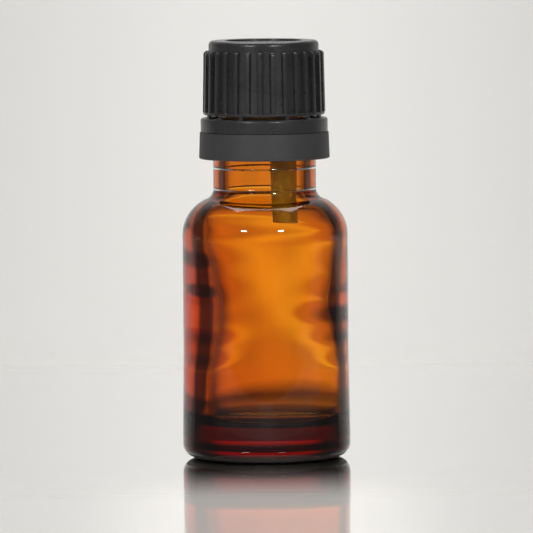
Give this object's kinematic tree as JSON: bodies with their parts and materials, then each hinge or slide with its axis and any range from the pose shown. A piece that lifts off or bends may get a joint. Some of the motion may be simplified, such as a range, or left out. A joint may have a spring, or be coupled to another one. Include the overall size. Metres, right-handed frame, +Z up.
{
  "type": "dropper bottle",
  "caption": "Round amber glass dropper bottle with a snapped-in dropper insert, a ribbed black screw cap and a tamper band that turns on the neck.",
  "frame": {"origin": "middle of the base, on the surface the bottle stands on", "axes": "+Z up along the bottle's axis, towards the cap; +X towards the side that the dropper tube stands on; -Y towards the viewer"},
  "size_m": [0.0285, 0.0284, 0.0708],
  "materials": {
    "amber_glass": "clear amber soda-lime glass, fire polished, thick at the base",
    "natural_polyethylene": "natural low-density polyethylene, slightly translucent, satin",
    "black_cap": "black polypropylene, moulded gloss with fine flow marks",
    "black_band": "black polypropylene, glossy collar above a satin lower tier"
  },
  "bodies": {
    "bottle": {"amber_bottle": "amber_glass", "dropper_insert": "natural_polyethylene"},
    "band": {"tamper_band": "black_band"},
    "cap": {"screw_cap": "black_cap"}
  },
  "joints": [
    {"name": "cap_turn", "type": "hinge", "parent": "bottle", "child": "band", "pos_m": [0, 0, 0.055], "axis": [0, 0, 1], "range_deg": [0, 1440]},
    {"name": "cap_lift", "type": "slide", "parent": "band", "child": "cap", "axis": [0, 0, 1], "range_m": [0, 0.012]}
  ],
  "couplings": [
    {"joint": "cap_lift", "follows": "cap_turn", "m_per_rad": 0.00047746}
  ]
}
